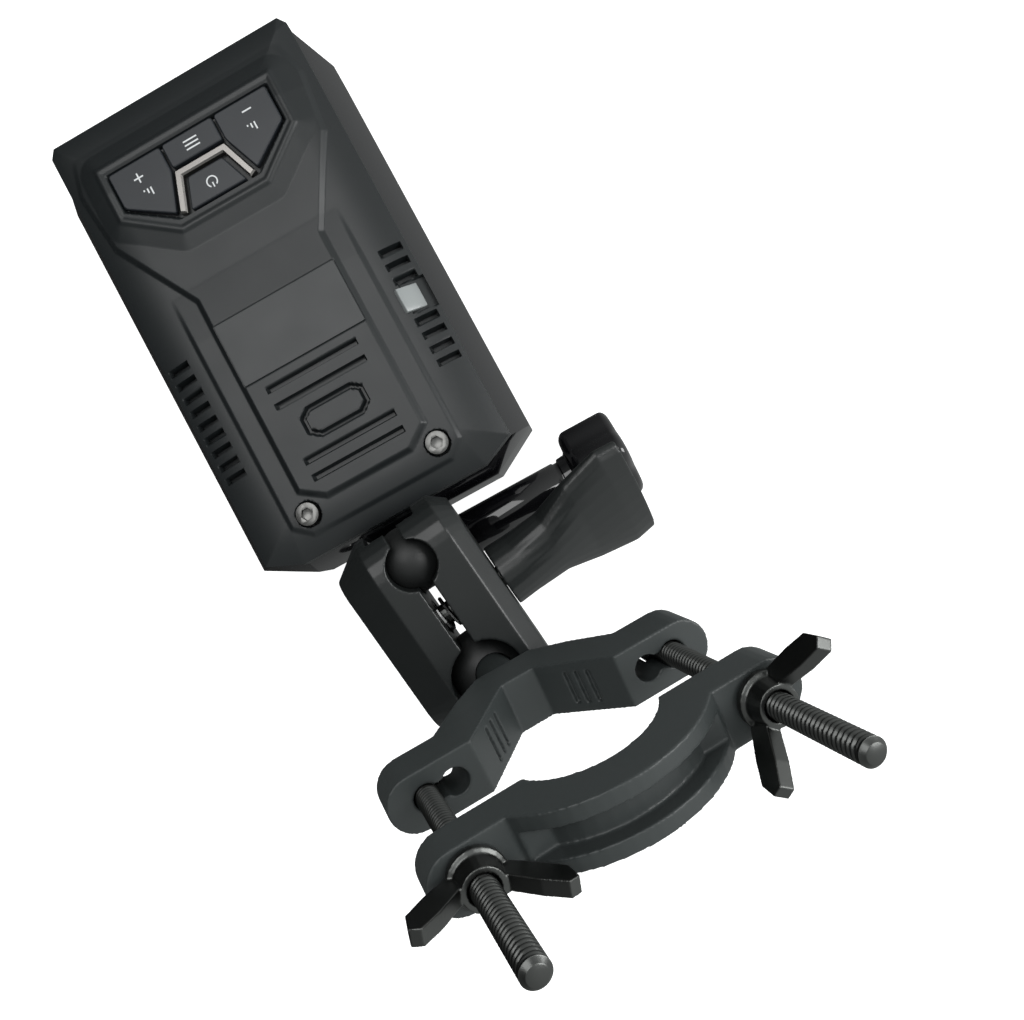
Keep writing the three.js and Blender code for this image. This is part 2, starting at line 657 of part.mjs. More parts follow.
// Raises an outline drawn in the clamp's X-Z plane to the clamp's width, centred on Y = 0.
function acrossBar(outline, width = CLAMP_WIDTH) {
  const flat = outline.map(([x, z]) => [x, -z]);
  return slab(flat.reverse(), -width / 2, width / 2).rotateX(-Math.PI / 2);
}

// A bar with round ends as long as the clamp, seen along Z.
function clampPlan() {
  const half = CLAMP_WIDTH / 2;
  const straight = CLAMP_HALF_LENGTH - half;
  return [...arc(straight, 0, half, -90, 90, 12), ...arc(-straight, 0, half, 90, 270, 12)];
}

function saddle() {
  const half = CLAMP_HALF_LENGTH;
  const hump = -VEE_DEPTH - SADDLE_THICK + 0.4;
  const profile = [
    [-half, 0], [-VEE_MOUTH_HALF, 0], [-VEE_FLAT_HALF, -VEE_DEPTH], [VEE_FLAT_HALF, -VEE_DEPTH],
    [VEE_MOUTH_HALF, 0], [half, 0], [half, -SADDLE_THICK], [19.4, -SADDLE_THICK], [12.6, -18.4],
    [6, hump], [-6, hump], [-12.6, -18.4], [-19.4, -SADDLE_THICK], [-half, -SADDLE_THICK],
  ];
  const rounded = keep(acrossBar(profile), slab(clampPlan(), -40, 10));
  const toBall = -BALL_TO_SEAT;
  const stem = rod(LOWER_STEM, toBall, hump + 1);
  const core = ball(LOWER_RADIUS - COAT - GAP).translate(0, 0, toBall);
  const cuts = [];
  for (const side of [-1, 1]) {
    const hole = CLAMP_BOLT_RADIUS + GAP;
    cuts.push(rod(hole, -SADDLE_THICK - 1, 1, 20).translate(side * BOLT_X, 0, 0));
    cuts.push(rod(hole, -SADDLE_THICK - 1, 1, 20).translate(side * INNER_LOBE_X, 0, 0));
    cuts.push(block(-3, -1.5, -SADDLE_THICK - 1, 3, 1.5, 1)
      .translate((side * (BOLT_X + INNER_LOBE_X)) / 2, 0, 0));
    cuts.push(rod(CLAMP_HEAD_RADIUS + GAP, -SADDLE_THICK - 1, -SADDLE_THICK + CLAMP_HEAD_DEPTH, 6)
      .translate(side * BOLT_X, 0, 0));
  }
  return cut(join(rounded, stem, core), ...cuts);
}

add('saddle', saddle().applyMatrix4(clampFrame), 0x2c3030, 0.6, 0);

for (const [name, side] of [['clamp_bolt_left', -1], ['clamp_bolt_right', 1]]) {
  const headHigh = -SADDLE_THICK + CLAMP_HEAD_DEPTH - GAP;
  const shank = stack([
    { z: headHigh - 1, outline: circle(0, 0, CLAMP_BOLT_RADIUS, 20) },
    { z: BOLT_TIP_Z - 0.7, outline: circle(0, 0, CLAMP_BOLT_RADIUS, 20) },
    { z: BOLT_TIP_Z, outline: circle(0, 0, CLAMP_BOLT_RADIUS - 0.6, 20) },
  ]);
  const head = rod(CLAMP_HEAD_RADIUS, headHigh - 3, headHigh, 6);
  const bolt = join(shank, head).translate(side * BOLT_X, 0, 0);
  add(name, bolt.applyMatrix4(clampFrame), 0x4a4d4f, 0.35, 0.9);
}

function jaw() {
  const half = CLAMP_HALF_LENGTH;
  const earHigh = JAW_SEAT_Z + JAW_EAR_THICK;
  const degrees = THREE.MathUtils.radToDeg;
  const innerStart = degrees(Math.asin((JAW_SEAT_Z - JAW_CENTRE_Z) / JAW_INNER_RADIUS));
  const outerStart = degrees(Math.asin((earHigh - JAW_CENTRE_Z) / JAW_OUTER_RADIUS));
  const profile = [
    [half, JAW_SEAT_Z],
    [half, earHigh],
    ...arc(0, JAW_CENTRE_Z, JAW_OUTER_RADIUS, outerStart, 180 - outerStart, 20),
    [-half, earHigh],
    [-half, JAW_SEAT_Z],
    ...arc(0, JAW_CENTRE_Z, JAW_INNER_RADIUS, 180 - innerStart, innerStart, 20),
  ];
  const rounded = keep(acrossBar(profile), slab(clampPlan(), 0, 60));
  const channelLow = JAW_OUTER_RADIUS - JAW_CHANNEL_DEPTH;
  const channel = cut(
    acrossBar(circle(0, JAW_CENTRE_Z, JAW_OUTER_RADIUS + 2, 48), JAW_CHANNEL_WIDTH),
    acrossBar(circle(0, JAW_CENTRE_Z, channelLow, 48), JAW_CHANNEL_WIDTH + 2),
    block(-50, -20, -30, 50, 20, earHigh + 0.8),
  );
  const holes = [-1, 1].map((side) =>
    rod(CLAMP_BOLT_RADIUS + GAP + 0.1, 0, 60, 20).translate(side * BOLT_X, 0, 0));
  return cut(rounded, channel, ...holes);
}

add('jaw', jaw().applyMatrix4(clampFrame), 0x2c3030, 0.6, 0);

// A wing nut: a flanged hub with two wings that lean outwards.
function wingNut(turn) {
  const base = JAW_SEAT_Z + JAW_EAR_THICK + GAP;
  const top = base + NUT_HEIGHT;
  const foot = base + 1.1;
  const hub = turned([[0, base], [4.7, base], [4.7, foot], [3.9, foot + 0.4], [3.4, top], [0, top]], 24);
  const wingProfile = [
    [2.6, base + 0.4], [4.6, base + 0.4], [8.6, base + 3.8], [11.6, base + 7],
    [11.9, base + 10.4], [10.2, base + 11.2], [7, base + 8.4], [3, base + 4],
  ];
  const right = acrossBar(wingProfile, 2.6);
  const left = acrossBar(wingProfile.map(([x, z]) => [-x, z]).reverse(), 2.6);
  const bore = rod(CLAMP_BOLT_RADIUS + GAP, base - 1, base + 12, 20);
  return cut(join(hub, right, left), bore).rotateZ(THREE.MathUtils.degToRad(turn));
}

add('wing_nut_left', wingNut(-16).translate(-BOLT_X, 0, 0).applyMatrix4(clampFrame), 0x4c4f51, 0.3, 0.9);
add('wing_nut_right', wingNut(49).translate(BOLT_X, 0, 0).applyMatrix4(clampFrame), 0x4c4f51, 0.3, 0.9);

// ---------- one common origin: the middle of the footprint ----------

const box = new THREE.Box3().setFromObject(part);
const middle = box.getCenter(new THREE.Vector3());
part.children.forEach((mesh) => mesh.geometry.translate(-middle.x, -middle.y, 0));

export default part;
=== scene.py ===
"""Looks of the radar detector and its bar clamp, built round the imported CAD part. Blender 4.5, metres."""

import json
import math

import bmesh
import bpy
import numpy as np
from mathutils import Matrix, Vector


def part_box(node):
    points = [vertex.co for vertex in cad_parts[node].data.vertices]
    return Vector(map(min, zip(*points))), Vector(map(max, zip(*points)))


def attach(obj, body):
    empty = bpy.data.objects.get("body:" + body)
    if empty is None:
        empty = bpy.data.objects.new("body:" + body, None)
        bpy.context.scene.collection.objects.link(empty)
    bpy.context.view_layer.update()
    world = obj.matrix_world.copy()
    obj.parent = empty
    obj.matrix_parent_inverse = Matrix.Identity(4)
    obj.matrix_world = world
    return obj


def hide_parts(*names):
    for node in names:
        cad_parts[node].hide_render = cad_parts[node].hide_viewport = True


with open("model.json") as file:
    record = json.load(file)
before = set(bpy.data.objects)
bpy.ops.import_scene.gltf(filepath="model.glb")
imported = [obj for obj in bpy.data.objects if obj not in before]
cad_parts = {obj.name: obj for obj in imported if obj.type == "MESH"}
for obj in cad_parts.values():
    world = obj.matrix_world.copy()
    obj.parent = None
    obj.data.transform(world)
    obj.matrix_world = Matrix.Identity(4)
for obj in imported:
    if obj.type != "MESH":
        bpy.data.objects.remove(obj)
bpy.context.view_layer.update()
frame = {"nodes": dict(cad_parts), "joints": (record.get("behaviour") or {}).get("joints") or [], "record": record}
MM = 0.001

record = frame["record"]
JOINTS = {joint["name"]: joint for joint in frame["joints"]}
BODY_OF = {node: body for body, nodes in record["behaviour"]["bodies"].items() for node in nodes}
SLOT_OF = {part["node"]: part["material_slot"] for part in record["subparts"]}

# ---------- driving dimensions, in millimetres ----------

# Detector, from the middle of its seam. Only half of each outline is given: it is the same on both sides.
SEAM_HALF = 31.0
SEAM_TOP = 53.7
SEAM_END = -57.2
CASE_EDGE_Z = 28.3      # where the cover's short wall turns into its bevel
SEAM_Z = 24.3
FIELD_Z = 30.2          # the cover's outer flat
EDGE_RUN = 10.5         # width of the cover's rounded border
COVER_WALL = 1.7
COVER_CELL = 0.25       # grid of the cover's surface
INNER_STEP = 4          # the cover's inside has one cell for this many on its outside
BASE_RISE = 0.5         # the plate above the outer flat, and the core above the plate
CORE_RISE = 0.95
PODIUM_RISE = 1.15
PODIUM_RUN = 4.6
PODIUM_RIM = 0.2
WELL_DEPTH = 1.5
LABEL_DEPTH = 0.25
BAR_DEPTH = 1.6
RING_DEPTH = 1.5
RING_HALF = 0.65
SCREW_DEPTH = 2.2
SCREW_WELL_RADIUS = 2.95
VENT_DEPTH = 2.4
WINDOW_DEPTH = 1.2
KEY_TOP_Z = 32.5
KEY_LOW_Z = 29.3

# Mount
SADDLE_THICK = 10.0
BOLT_X = 25.2
BOLT_RADIUS = 2.2
BOLT_PITCH = 1.0
BOLT_TIP_Z = 57.0
BALL_TO_SEAT = 44.0
VEE_FLAT_HALF = 3.4
VEE_MOUTH_HALF = 14.6
VEE_DEPTH = 15.0
BALL_COAT = 1.5
UPPER_RADIUS = 7.5
LOWER_RADIUS = 8.5
UPPER_STEM_HOLE = 3.4
LOWER_STEM_HOLE = 4.3


# ---------- frames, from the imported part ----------

def joint_point(name):
    return Vector(JOINTS[name]["pos_m"])


def frame_at(origin, x_axis, z_axis):
    """A matrix from millimetres in the given frame to the part's metres."""
    x = Vector(x_axis).normalized()
    y = Vector(z_axis).cross(x).normalized()
    z = x.cross(y)
    turn = Matrix((x, y, z)).transposed().to_4x4()
    return Matrix.Translation(origin) @ turn @ Matrix.Scale(MM, 4)


cover_low, cover_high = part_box("rear_cover")
SEAM_MIDDLE = ((cover_low.x + cover_high.x) / 2, cover_high.y - SEAM_TOP * MM, 0)
UNIT = Matrix.Translation(SEAM_MIDDLE) @ Matrix.Scale(MM, 4)

UPPER_BALL = joint_point("upper_ball_swing")
LOWER_BALL = joint_point("lower_ball_swing")
CLAMP_Z = Vector(JOINTS["jaw_slide"]["axis"])
CLAMP_X = (joint_point("nut_right_turn") - joint_point("nut_left_turn")).normalized()

CLAMP = frame_at(LOWER_BALL + CLAMP_Z * BALL_TO_SEAT * MM, CLAMP_X, CLAMP_Z)
THUMB = frame_at(joint_point("detector_tilt"), (0, 1, 0), (1, 0, 0))
UPPER_COAT = frame_at(UPPER_BALL, (1, 0, 0), (0, 0, -1))
LOWER_COAT = frame_at(LOWER_BALL, CLAMP_X, CLAMP_Z)


# ---------- materials ----------

def material(name, colour, rough, metal=0.0, coat=0.0, grain=0.0, grain_size=0.3, uneven=0.0, clear=0.0):
    """A finish with fine grain (bump) and uneven roughness. grain_size is in millimetres."""
    made = bpy.data.materials.new(name)
    made.use_nodes = True
    nodes, links = made.node_tree.nodes, made.node_tree.links
    shader = nodes["Principled BSDF"]
    shader.inputs["Base Color"].default_value = (*colour, 1)
    shader.inputs["Roughness"].default_value = rough
    shader.inputs["Metallic"].default_value = metal
    shader.inputs["Coat Weight"].default_value = coat
    shader.inputs["Coat Roughness"].default_value = 0.05
    shader.inputs["Transmission Weight"].default_value = clear
    where = nodes.new("ShaderNodeTexCoord")
    if grain > 0:
        noise = nodes.new("ShaderNodeTexNoise")
        noise.inputs["Scale"].default_value = 1 / (grain_size * MM)
        noise.inputs["Detail"].default_value = 3
        links.new(where.outputs["Object"], noise.inputs["Vector"])
        bump = nodes.new("ShaderNodeBump")
        bump.inputs["Strength"].default_value = grain
        bump.inputs["Distance"].default_value = grain_size * MM * 0.2
        links.new(noise.outputs["Fac"], bump.inputs["Height"])
        links.new(bump.outputs["Normal"], shader.inputs["Normal"])
    if uneven > 0:
        patches = nodes.new("ShaderNodeTexNoise")
        patches.inputs["Scale"].default_value = 120
        patches.inputs["Detail"].default_value = 4
        links.new(where.outputs["Object"], patches.inputs["Vector"])
        spread = nodes.new("ShaderNodeMapRange")
        spread.inputs["To Min"].default_value = max(0.02, rough - uneven)
        spread.inputs["To Max"].default_value = min(1, rough + uneven)
        links.new(patches.outputs["Fac"], spread.inputs["Value"])
        links.new(spread.outputs["Result"], shader.inputs["Roughness"])
    return made


FINISH = {
    "gloss_black": material("gloss_black", (0.004, 0.004, 0.005), 0.09, coat=0.4, uneven=0.03),
    "case_grey": material(
        "case_grey", (0.011, 0.0135, 0.0145), 0.4, grain=0.12, grain_size=0.12, uneven=0.04),
    "key_grey": material("key_grey", (0.014, 0.017, 0.021), 0.38, grain=0.08, grain_size=0.1, uneven=0.04),
    "trim_chrome": material("trim_chrome", (0.24, 0.23, 0.22), 0.28, metal=1, uneven=0.05),
    "label_grey": material(
        "label_grey", (0.014, 0.017, 0.018), 0.36, grain=0.05, grain_size=0.2, uneven=0.05),
    "lens_smoke": material("lens_smoke", (0.008, 0.009, 0.01), 0.05, coat=1, uneven=0.02),
    "panel_dark": material("panel_dark", (0.01, 0.01, 0.013), 0.4, uneven=0.05),
    "window_clear": material("window_clear", (0.3, 0.32, 0.32), 0.2, uneven=0.03),
    "sensor_resin": material("sensor_resin", (0.35, 0.34, 0.27), 0.12, uneven=0.04),
    "board_green": material(
        "board_green", (0.015, 0.09, 0.04), 0.45, grain=0.1, grain_size=0.5, uneven=0.08),
    "horn_metal": material("horn_metal", (0.6, 0.58, 0.52), 0.35, metal=1, uneven=0.08),
    "speaker_black": material("speaker_black", (0.015, 0.015, 0.015), 0.6, grain=0.1, uneven=0.05),
    "socket_steel": material("socket_steel", (0.5, 0.5, 0.5), 0.3, metal=1, uneven=0.08),
    "screw_steel": material(
        "screw_steel", (0.16, 0.16, 0.155), 0.32, metal=1, grain=0.1, grain_size=0.2, uneven=0.1),
    "bolt_steel": material(
        "bolt_steel", (0.1, 0.103, 0.1), 0.34, metal=1, grain=0.12, grain_size=0.25, uneven=0.1),
    "chrome_nut": material("chrome_nut", (0.8, 0.8, 0.8), 0.07, metal=1, uneven=0.03),
    "spring_steel": material("spring_steel", (0.5, 0.5, 0.5), 0.3, metal=1, uneven=0.08),
    "mount_plastic": material(
        "mount_plastic", (0.036, 0.042, 0.042), 0.42, grain=0.16, grain_size=0.25, uneven=0.08),
    "arm_plastic": material(
        "arm_plastic", (0.012, 0.014, 0.014), 0.32, grain=0.08, grain_size=0.3, uneven=0.08),
    "knob_gloss": material("knob_gloss", (0.004, 0.004, 0.005), 0.09, coat=0.6, uneven=0.04),
    "ball_rubber": material(
        "ball_rubber", (0.011, 0.012, 0.012), 0.48, grain=0.3, grain_size=0.22, uneven=0.08),
    "mat_rubber": material("mat_rubber", (0.015, 0.015, 0.015), 0.7, grain=0.1, uneven=0.05),
}
PRINT_WHITE = material("print_white", (0.75, 0.77, 0.78), 0.5, uneven=0.04)


# ---------- mesh tools ----------

def piece(name, bm, place, node, body=None):
    """A new piece from a bmesh in millimetres, standing for a CAD node or, with body, riding on that body."""
    bmesh.ops.recalc_face_normals(bm, faces=bm.faces)
    mesh = bpy.data.meshes.new(name)
    bm.to_mesh(mesh)
    bm.free()
    mesh.transform(place)
    obj = bpy.data.objects.new(name, mesh)
    bpy.context.scene.collection.objects.link(obj)
    if node:
        stand_for(obj, node)
    if body:
        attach(obj, body)
    return obj


def stand_for(obj, node):
    """The piece takes the CAD node's place, body and finish."""
    obj.data.materials.clear()
    obj.data.materials.append(FINISH[SLOT_OF[node]])
    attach(obj, BODY_OF[node])
    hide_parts(node)


def smooth(obj, degrees=35):
    """Smooth shading with sharp edges kept."""
    obj.data.shade_smooth()
    obj.data.set_sharp_from_angle(angle=math.radians(degrees))


def settle(obj):
    """Applies every modifier."""
    graph = bpy.context.evaluated_depsgraph_get()
    mesh = bpy.data.meshes.new_from_object(obj.evaluated_get(graph))
    obj.modifiers.clear()
    obj.data = mesh


def loose(bm, place):
    """A helper object, to cut others with."""
    bmesh.ops.recalc_face_normals(bm, faces=bm.faces)
    mesh = bpy.data.meshes.new("cutter")
    bm.to_mesh(mesh)
    bm.free()
    mesh.transform(place)
    obj = bpy.data.objects.new("cutter", mesh)
    bpy.context.scene.collection.objects.link(obj)
    return obj


def moulded(node, name, voxel=0.25, rounds=5, cutters=()):
    """A moulded piece: the CAD solid with cutters taken away and all its edges rounded."""
    obj = bpy.data.objects.new(name, frame["nodes"][node].data.copy())
    bpy.context.scene.collection.objects.link(obj)
    bm = bmesh.new()
    bm.from_mesh(obj.data)
    bmesh.ops.remove_doubles(bm, verts=bm.verts, dist=0.002 * MM)
    bm.to_mesh(obj.data)
    bm.free()
    for cutter in cutters:
        boolean = obj.modifiers.new("cut", "BOOLEAN")
        boolean.operation = "DIFFERENCE"
        boolean.solver = "EXACT"
        boolean.object = cutter
    settle(obj)
    for cutter in cutters:
        bpy.data.objects.remove(cutter)
    remesh = obj.modifiers.new("even", "REMESH")
    remesh.mode = "VOXEL"
    remesh.voxel_size = voxel * MM
    soften = obj.modifiers.new("round", "SMOOTH")
    soften.factor = 0.5
    soften.iterations = rounds
    settle(obj)
    obj.data.shade_smooth()
    stand_for(obj, node)
    return obj


def bevelled(node, name, width=0.3, segments=2):
    """A machined or crisp piece: the CAD solid with a small round on each edge."""
    obj = bpy.data.objects.new(name, frame["nodes"][node].data.copy())
    bpy.context.scene.collection.objects.link(obj)
    bm = bmesh.new()
    bm.from_mesh(obj.data)
    bmesh.ops.remove_doubles(bm, verts=bm.verts, dist=0.002 * MM)
    bmesh.ops.dissolve_limit(bm, angle_limit=math.radians(1), verts=bm.verts, edges=bm.edges)
    bm.to_mesh(obj.data)
    bm.free()
    bevel = obj.modifiers.new("edges", "BEVEL")
    bevel.width = width * MM
    bevel.segments = segments
    bevel.limit_method = "ANGLE"
    bevel.angle_limit = math.radians(25)
    settle(obj)
    smooth(obj)
    stand_for(obj, node)
    return obj


def tube_of_rows(rows, sides):
    """A closed body about Z: each row is (z, radius), the radius a number or a function of the angle."""
    bm = bmesh.new()
    rings = []
    for z, radius in rows:
        ring = []
        for i in range(sides):
            angle = 2 * math.pi * i / sides
            r = radius(angle) if callable(radius) else radius
            ring.append(bm.verts.new((r * math.cos(angle), r * math.sin(angle), z)))
        rings.append(ring)
    for low, high in zip(rings, rings[1:]):
        for i in range(sides):
            j = (i + 1) % sides
            bm.faces.new((low[i], low[j], high[j], high[i]))
    bm.faces.new(list(reversed(rings[0])))
    bm.faces.new(rings[-1])
    return bm


def ring_of_profile(profile, sides):
    """A ring about Z from a closed profile of (radius, z) points. Points on the axis are left unmerged."""
    bm = bmesh.new()
    rings = []
    for i in range(sides):
        angle = 2 * math.pi * i / sides
        rings.append([bm.verts.new((r * math.cos(angle), r * math.sin(angle), z)) for r, z in profile])
    for i in range(sides):
        here, there = rings[i], rings[(i + 1) % sides]
        for k in range(len(profile)):
            m = (k + 1) % len(profile)
            bm.faces.new((here[k], there[k], there[m], here[m]))
    return bm


def add_loft(bm, layers):
    """Joins outlines with the same number of points, given as (z, outline), into a closed body in bm."""
    rings = [[bm.verts.new((x, y, z)) for x, y in outline] for z, outline in layers]
    count = len(rings[0])
    for low, high in zip(rings, rings[1:]):
        for i in range(count):
            j = (i + 1) % count
            bm.faces.new((low[i], low[j], high[j], high[i]))
    bm.faces.new(list(reversed(rings[0])))
    bm.faces.new(rings[-1])
    return bm


def inset(outline, distance):
    """The outline, counter-clockwise, moved in by the distance along each corner's bisector."""
    moved = []
    count = len(outline)
    for i in range(count):
        before, here, after = (Vector(outline[(i + k) % count]) for k in (-1, 0, 1))
        a = (here - before).normalized()
        b = (after - here).normalized()
        normal_a, normal_b = Vector((-a.y, a.x)), Vector((-b.y, b.x))
        bisector = (normal_a + normal_b).normalized()
        moved.append(tuple(here + bisector * distance / max(0.3, bisector.dot(normal_a))))
    return moved


def rounded(outline, radius, steps=4):
    """The outline with each corner rounded off."""
    points = []
    count = len(outline)
    for i in range(count):
        before, here, after = (Vector(outline[(i + k) % count]) for k in (-1, 0, 1))
        reach = min(radius, (before - here).length * 0.45, (after - here).length * 0.45)
        start = here + (before - here).normalized() * reach
        end = here + (after - here).normalized() * reach
        for k in range(steps + 1):
            t = k / steps
            points.append(tuple(start * (1 - t) ** 2 + here * 2 * t * (1 - t) + end * t * t))
    return points


def both_sides(half):
    """A full outline from its right half, listed from the bottom up."""
    return [tuple(p) for p in half] + [(-x, y) for x, y in reversed(half)]


def box_outline(x0, y0, x1, y1):
    return [(x0, y0), (x1, y0), (x1, y1), (x0, y1)]


# ---------- the rear cover ----------

CASE_HALF = [(23, SEAM_END), (SEAM_HALF, -SEAM_TOP), (SEAM_HALF, 51.6), (29.5, SEAM_TOP)]
CASE = both_sides(CASE_HALF)
CORE = both_sides([(10.7, -47.2), (16.4, -43.2), (16.4, 5.2), (27.6, 25), (29.3, 39.9), (26, 52)])
BASE_PLATE = both_sides([(17.5, -53.2), (21.6, -49.6), (21.6, 9)])
PODIUM = both_sides([(10.9, 20.6), (22.3, 29.2), (22.3, 42)])
KEY_WELL = both_sides([(9.9, 22.7), (20.8, 30.5), (20.8, 40)])
RING = both_sides([(5.4, -34.8), (7.9, -32.8), (7.9, -29), (5.4, -27.2)])
BARS = [-20.1, -24.2, -38.0, -42.0]
BAR_LENGTH_HALF = 11.4
BAR_HALF = 0.75
SCREWS = [(-16.3, -48.2), (16.3, -48.2)]
VENT_PITCH = 3.43
VENTS_LEFT = [-5.5 - VENT_PITCH * i for i in range(9)]
VENTS_RIGHT = [y for y in VENTS_LEFT if abs(y + 17) > 4.2]
VENT_HALF = 0.8
WINDOW = [(25.0, -20.6), (31.0, -21.0), (31.0, -13.4), (25.0, -13.0)]


def inside(x, y, outline):
    """How far each point is inside the outline: negative outside."""
    distance = np.full(x.shape, 1e9)
    crossings = np.zeros(x.shape, bool)
    for (ax, ay), (bx, by) in zip(outline, outline[1:] + outline[:1]):
        ex, ey = bx - ax, by - ay
        t = np.clip(((x - ax) * ex + (y - ay) * ey) / (ex * ex + ey * ey), 0, 1)
        distance = np.minimum(distance, np.hypot(x - ax - t * ex, y - ay - t * ey))
        if ay != by:
            spans = (ay > y) != (by > y)
            crossings ^= spans & (x < ax + (y - ay) * ex / ey)
    return np.where(crossings, distance, -distance)


def rise(depth, width):
    """0 at the edge of an outline and 1 from width inside it."""
    return np.clip(depth / width, 0, 1)


def cover_height(x, y):
    """The outer surface of the cover above each point."""
    edge = np.clip(inside(x, y, CASE) / EDGE_RUN, 0, 1)
    z = CASE_EDGE_Z + (FIELD_Z - CASE_EDGE_Z) * (1 - (1 - edge) ** 2)
    z += BASE_RISE * rise(inside(x, y, BASE_PLATE), 0.9) * np.clip((9 - y) / 12, 0, 1)
    z += CORE_RISE * rise(inside(x, y, CORE), 1.1) * np.clip((48 - y) / 12, 0, 1)
    podium = inside(x, y, PODIUM)
    z += PODIUM_RISE * np.clip(1 + podium / PODIUM_RUN, 0, 1)
    z += PODIUM_RIM * (1 - np.clip(np.abs(podium - 0.1) / 0.9, 0, 1) ** 2)
    z -= WELL_DEPTH * rise(inside(x, y, KEY_WELL), 0.45)
    label = inside(x, y, box_outline(-15.4, -17, 15.4, -1.6))
    z -= LABEL_DEPTH * rise(label, 0.15)
    for row in BARS:
        groove = box_outline(-BAR_LENGTH_HALF, row - BAR_HALF, BAR_LENGTH_HALF, row + BAR_HALF)
        z -= BAR_DEPTH * rise(inside(x, y, groove), 0.25)
    ring = inside(x, y, RING)
    z -= RING_DEPTH * np.clip((RING_HALF - np.abs(ring - RING_HALF)) / 0.3, 0, 1)
    for cx, cy in SCREWS:
        z -= SCREW_DEPTH * rise(SCREW_WELL_RADIUS - np.hypot(x - cx, y - cy), 0.3)
    for side, rows in ((-1, VENTS_LEFT), (1, VENTS_RIGHT)):
        for row in rows:
            slit = box_outline(24.6, row - VENT_HALF, 29.8, row + VENT_HALF)
            z -= VENT_DEPTH * rise(inside(side * x, y, slit), 0.25)
    z -= WINDOW_DEPTH * rise(inside(x, y, WINDOW), 0.2)
    return z


def half_width(y):
    """Half the cover's width at the height y of its outline."""
    return np.interp(y, [p[1] for p in CASE_HALF], [p[0] for p in CASE_HALF])


def build_cover():
    """The cover: a grid over the outline, a skirt down to the seam and an inner face one wall below."""
    across = int(2 * SEAM_HALF / COVER_CELL / INNER_STEP) * INNER_STEP
    along = int((SEAM_TOP - SEAM_END) / COVER_CELL / INNER_STEP) * INNER_STEP
    rows = np.linspace(SEAM_END, SEAM_TOP, along + 1)
    share = np.linspace(-1, 1, across + 1)
    y, s = np.meshgrid(rows, share, indexing="ij")
    x = s * half_width(y)
    z = cover_height(x, y)

    bm = bmesh.new()
    outer = [[bm.verts.new((x[i, j], y[i, j], z[i, j])) for j in range(across + 1)] for i in range(along + 1)]
    for i in range(along):
        for j in range(across):
            bm.faces.new((outer[i][j], outer[i][j + 1], outer[i + 1][j + 1], outer[i + 1][j]))

    def round_edge(grid, rows_, columns, step=1):
        """The grid's edge vertices, once round."""
        loop = [grid[0][j] for j in range(0, columns, step)]
        loop += [grid[i][columns] for i in range(0, rows_, step)]
        loop += [grid[rows_][j] for j in range(columns, 0, -step)]
        return loop + [grid[i][0] for i in range(rows_, 0, -step)]

    edge = round_edge(outer, along, across)
    skirt = [bm.verts.new((v.co.x, v.co.y, SEAM_Z)) for v in edge]
    for k in range(len(edge)):
        m = (k + 1) % len(edge)
        bm.faces.new((edge[k], skirt[k], skirt[m], edge[m]))

    few_x, few_y = across // INNER_STEP, along // INNER_STEP
    low = z.copy()
    for i in range(0, along + 1, INNER_STEP):
        for j in range(0, across + 1, INNER_STEP):
            near = z[max(0, i - INNER_STEP):i + INNER_STEP + 1, max(0, j - INNER_STEP):j + INNER_STEP + 1]
            low[i, j] = near.min()
    inner = []
    for i in range(few_y + 1):
        line = []
        for j in range(few_x + 1):
            px, py = x[i * INNER_STEP, j * INNER_STEP], y[i * INNER_STEP, j * INNER_STEP]
            squeeze_x = 1 - 1.6 / SEAM_HALF
            squeeze_y = 1 - 1.6 / SEAM_TOP
            line.append(bm.verts.new((px * squeeze_x, py * squeeze_y,
                                      max(SEAM_Z + 0.2, low[i * INNER_STEP, j * INNER_STEP] - COVER_WALL))))
        inner.append(line)
    for i in range(few_y):
        for j in range(few_x):
            bm.faces.new((inner[i][j], inner[i + 1][j], inner[i + 1][j + 1], inner[i][j + 1]))
    inner_edge = round_edge(inner, few_y, few_x)
    rim = [bm.verts.new((v.co.x, v.co.y, SEAM_Z)) for v in inner_edge]
    for k in range(len(inner_edge)):
        m = (k + 1) % len(inner_edge)
        bm.faces.new((inner_edge[k], inner_edge[m], rim[m], rim[k]))
        span = [skirt[(INNER_STEP * k + n) % len(skirt)] for n in range(INNER_STEP + 1)]
        bm.faces.new((*span, rim[m], rim[k]))
    cover = piece("cover", bm, UNIT, "rear_cover")
    smooth(cover, 50)


build_cover()

# ---------- keys, trim, label, window ----------

VOLUME_KEY = [(6.95, 33.3), (10.35, 24.3), (20.3, 31), (20.3, 39.5), (6.95, 39.5)]
MENU_KEY = [(-6.45, 33.6), (6.45, 33.6), (6.45, 39.5), (-6.45, 39.5)]
POWER_KEY = [(-7.1, 23.2), (7.1, 23.2), (4.5, 30.3), (-4.5, 30.3)]


def flipped(outline):
    return [(-x, y) for x, y in reversed(outline)]


def key(node, outline, name):
    """A key cap with soft corners and a rounded top edge."""
    soft = rounded(outline, 0.8)
    layers = [(KEY_LOW_Z, soft), (KEY_TOP_Z - 0.35, soft), (KEY_TOP_Z - 0.1, inset(soft, 0.1)),
              (KEY_TOP_Z, inset(soft, 0.32))]
    smooth(piece(name, add_loft(bmesh.new(), layers), UNIT, node), 14)


key("button_volume_up", flipped(VOLUME_KEY), "key_volume_up_cap")
key("button_volume_down", VOLUME_KEY, "key_volume_down_cap")
key("button_menu", MENU_KEY, "key_menu_cap")
key("button_power", POWER_KEY, "key_power_cap")

PRINT_HEIGHT = 0.04


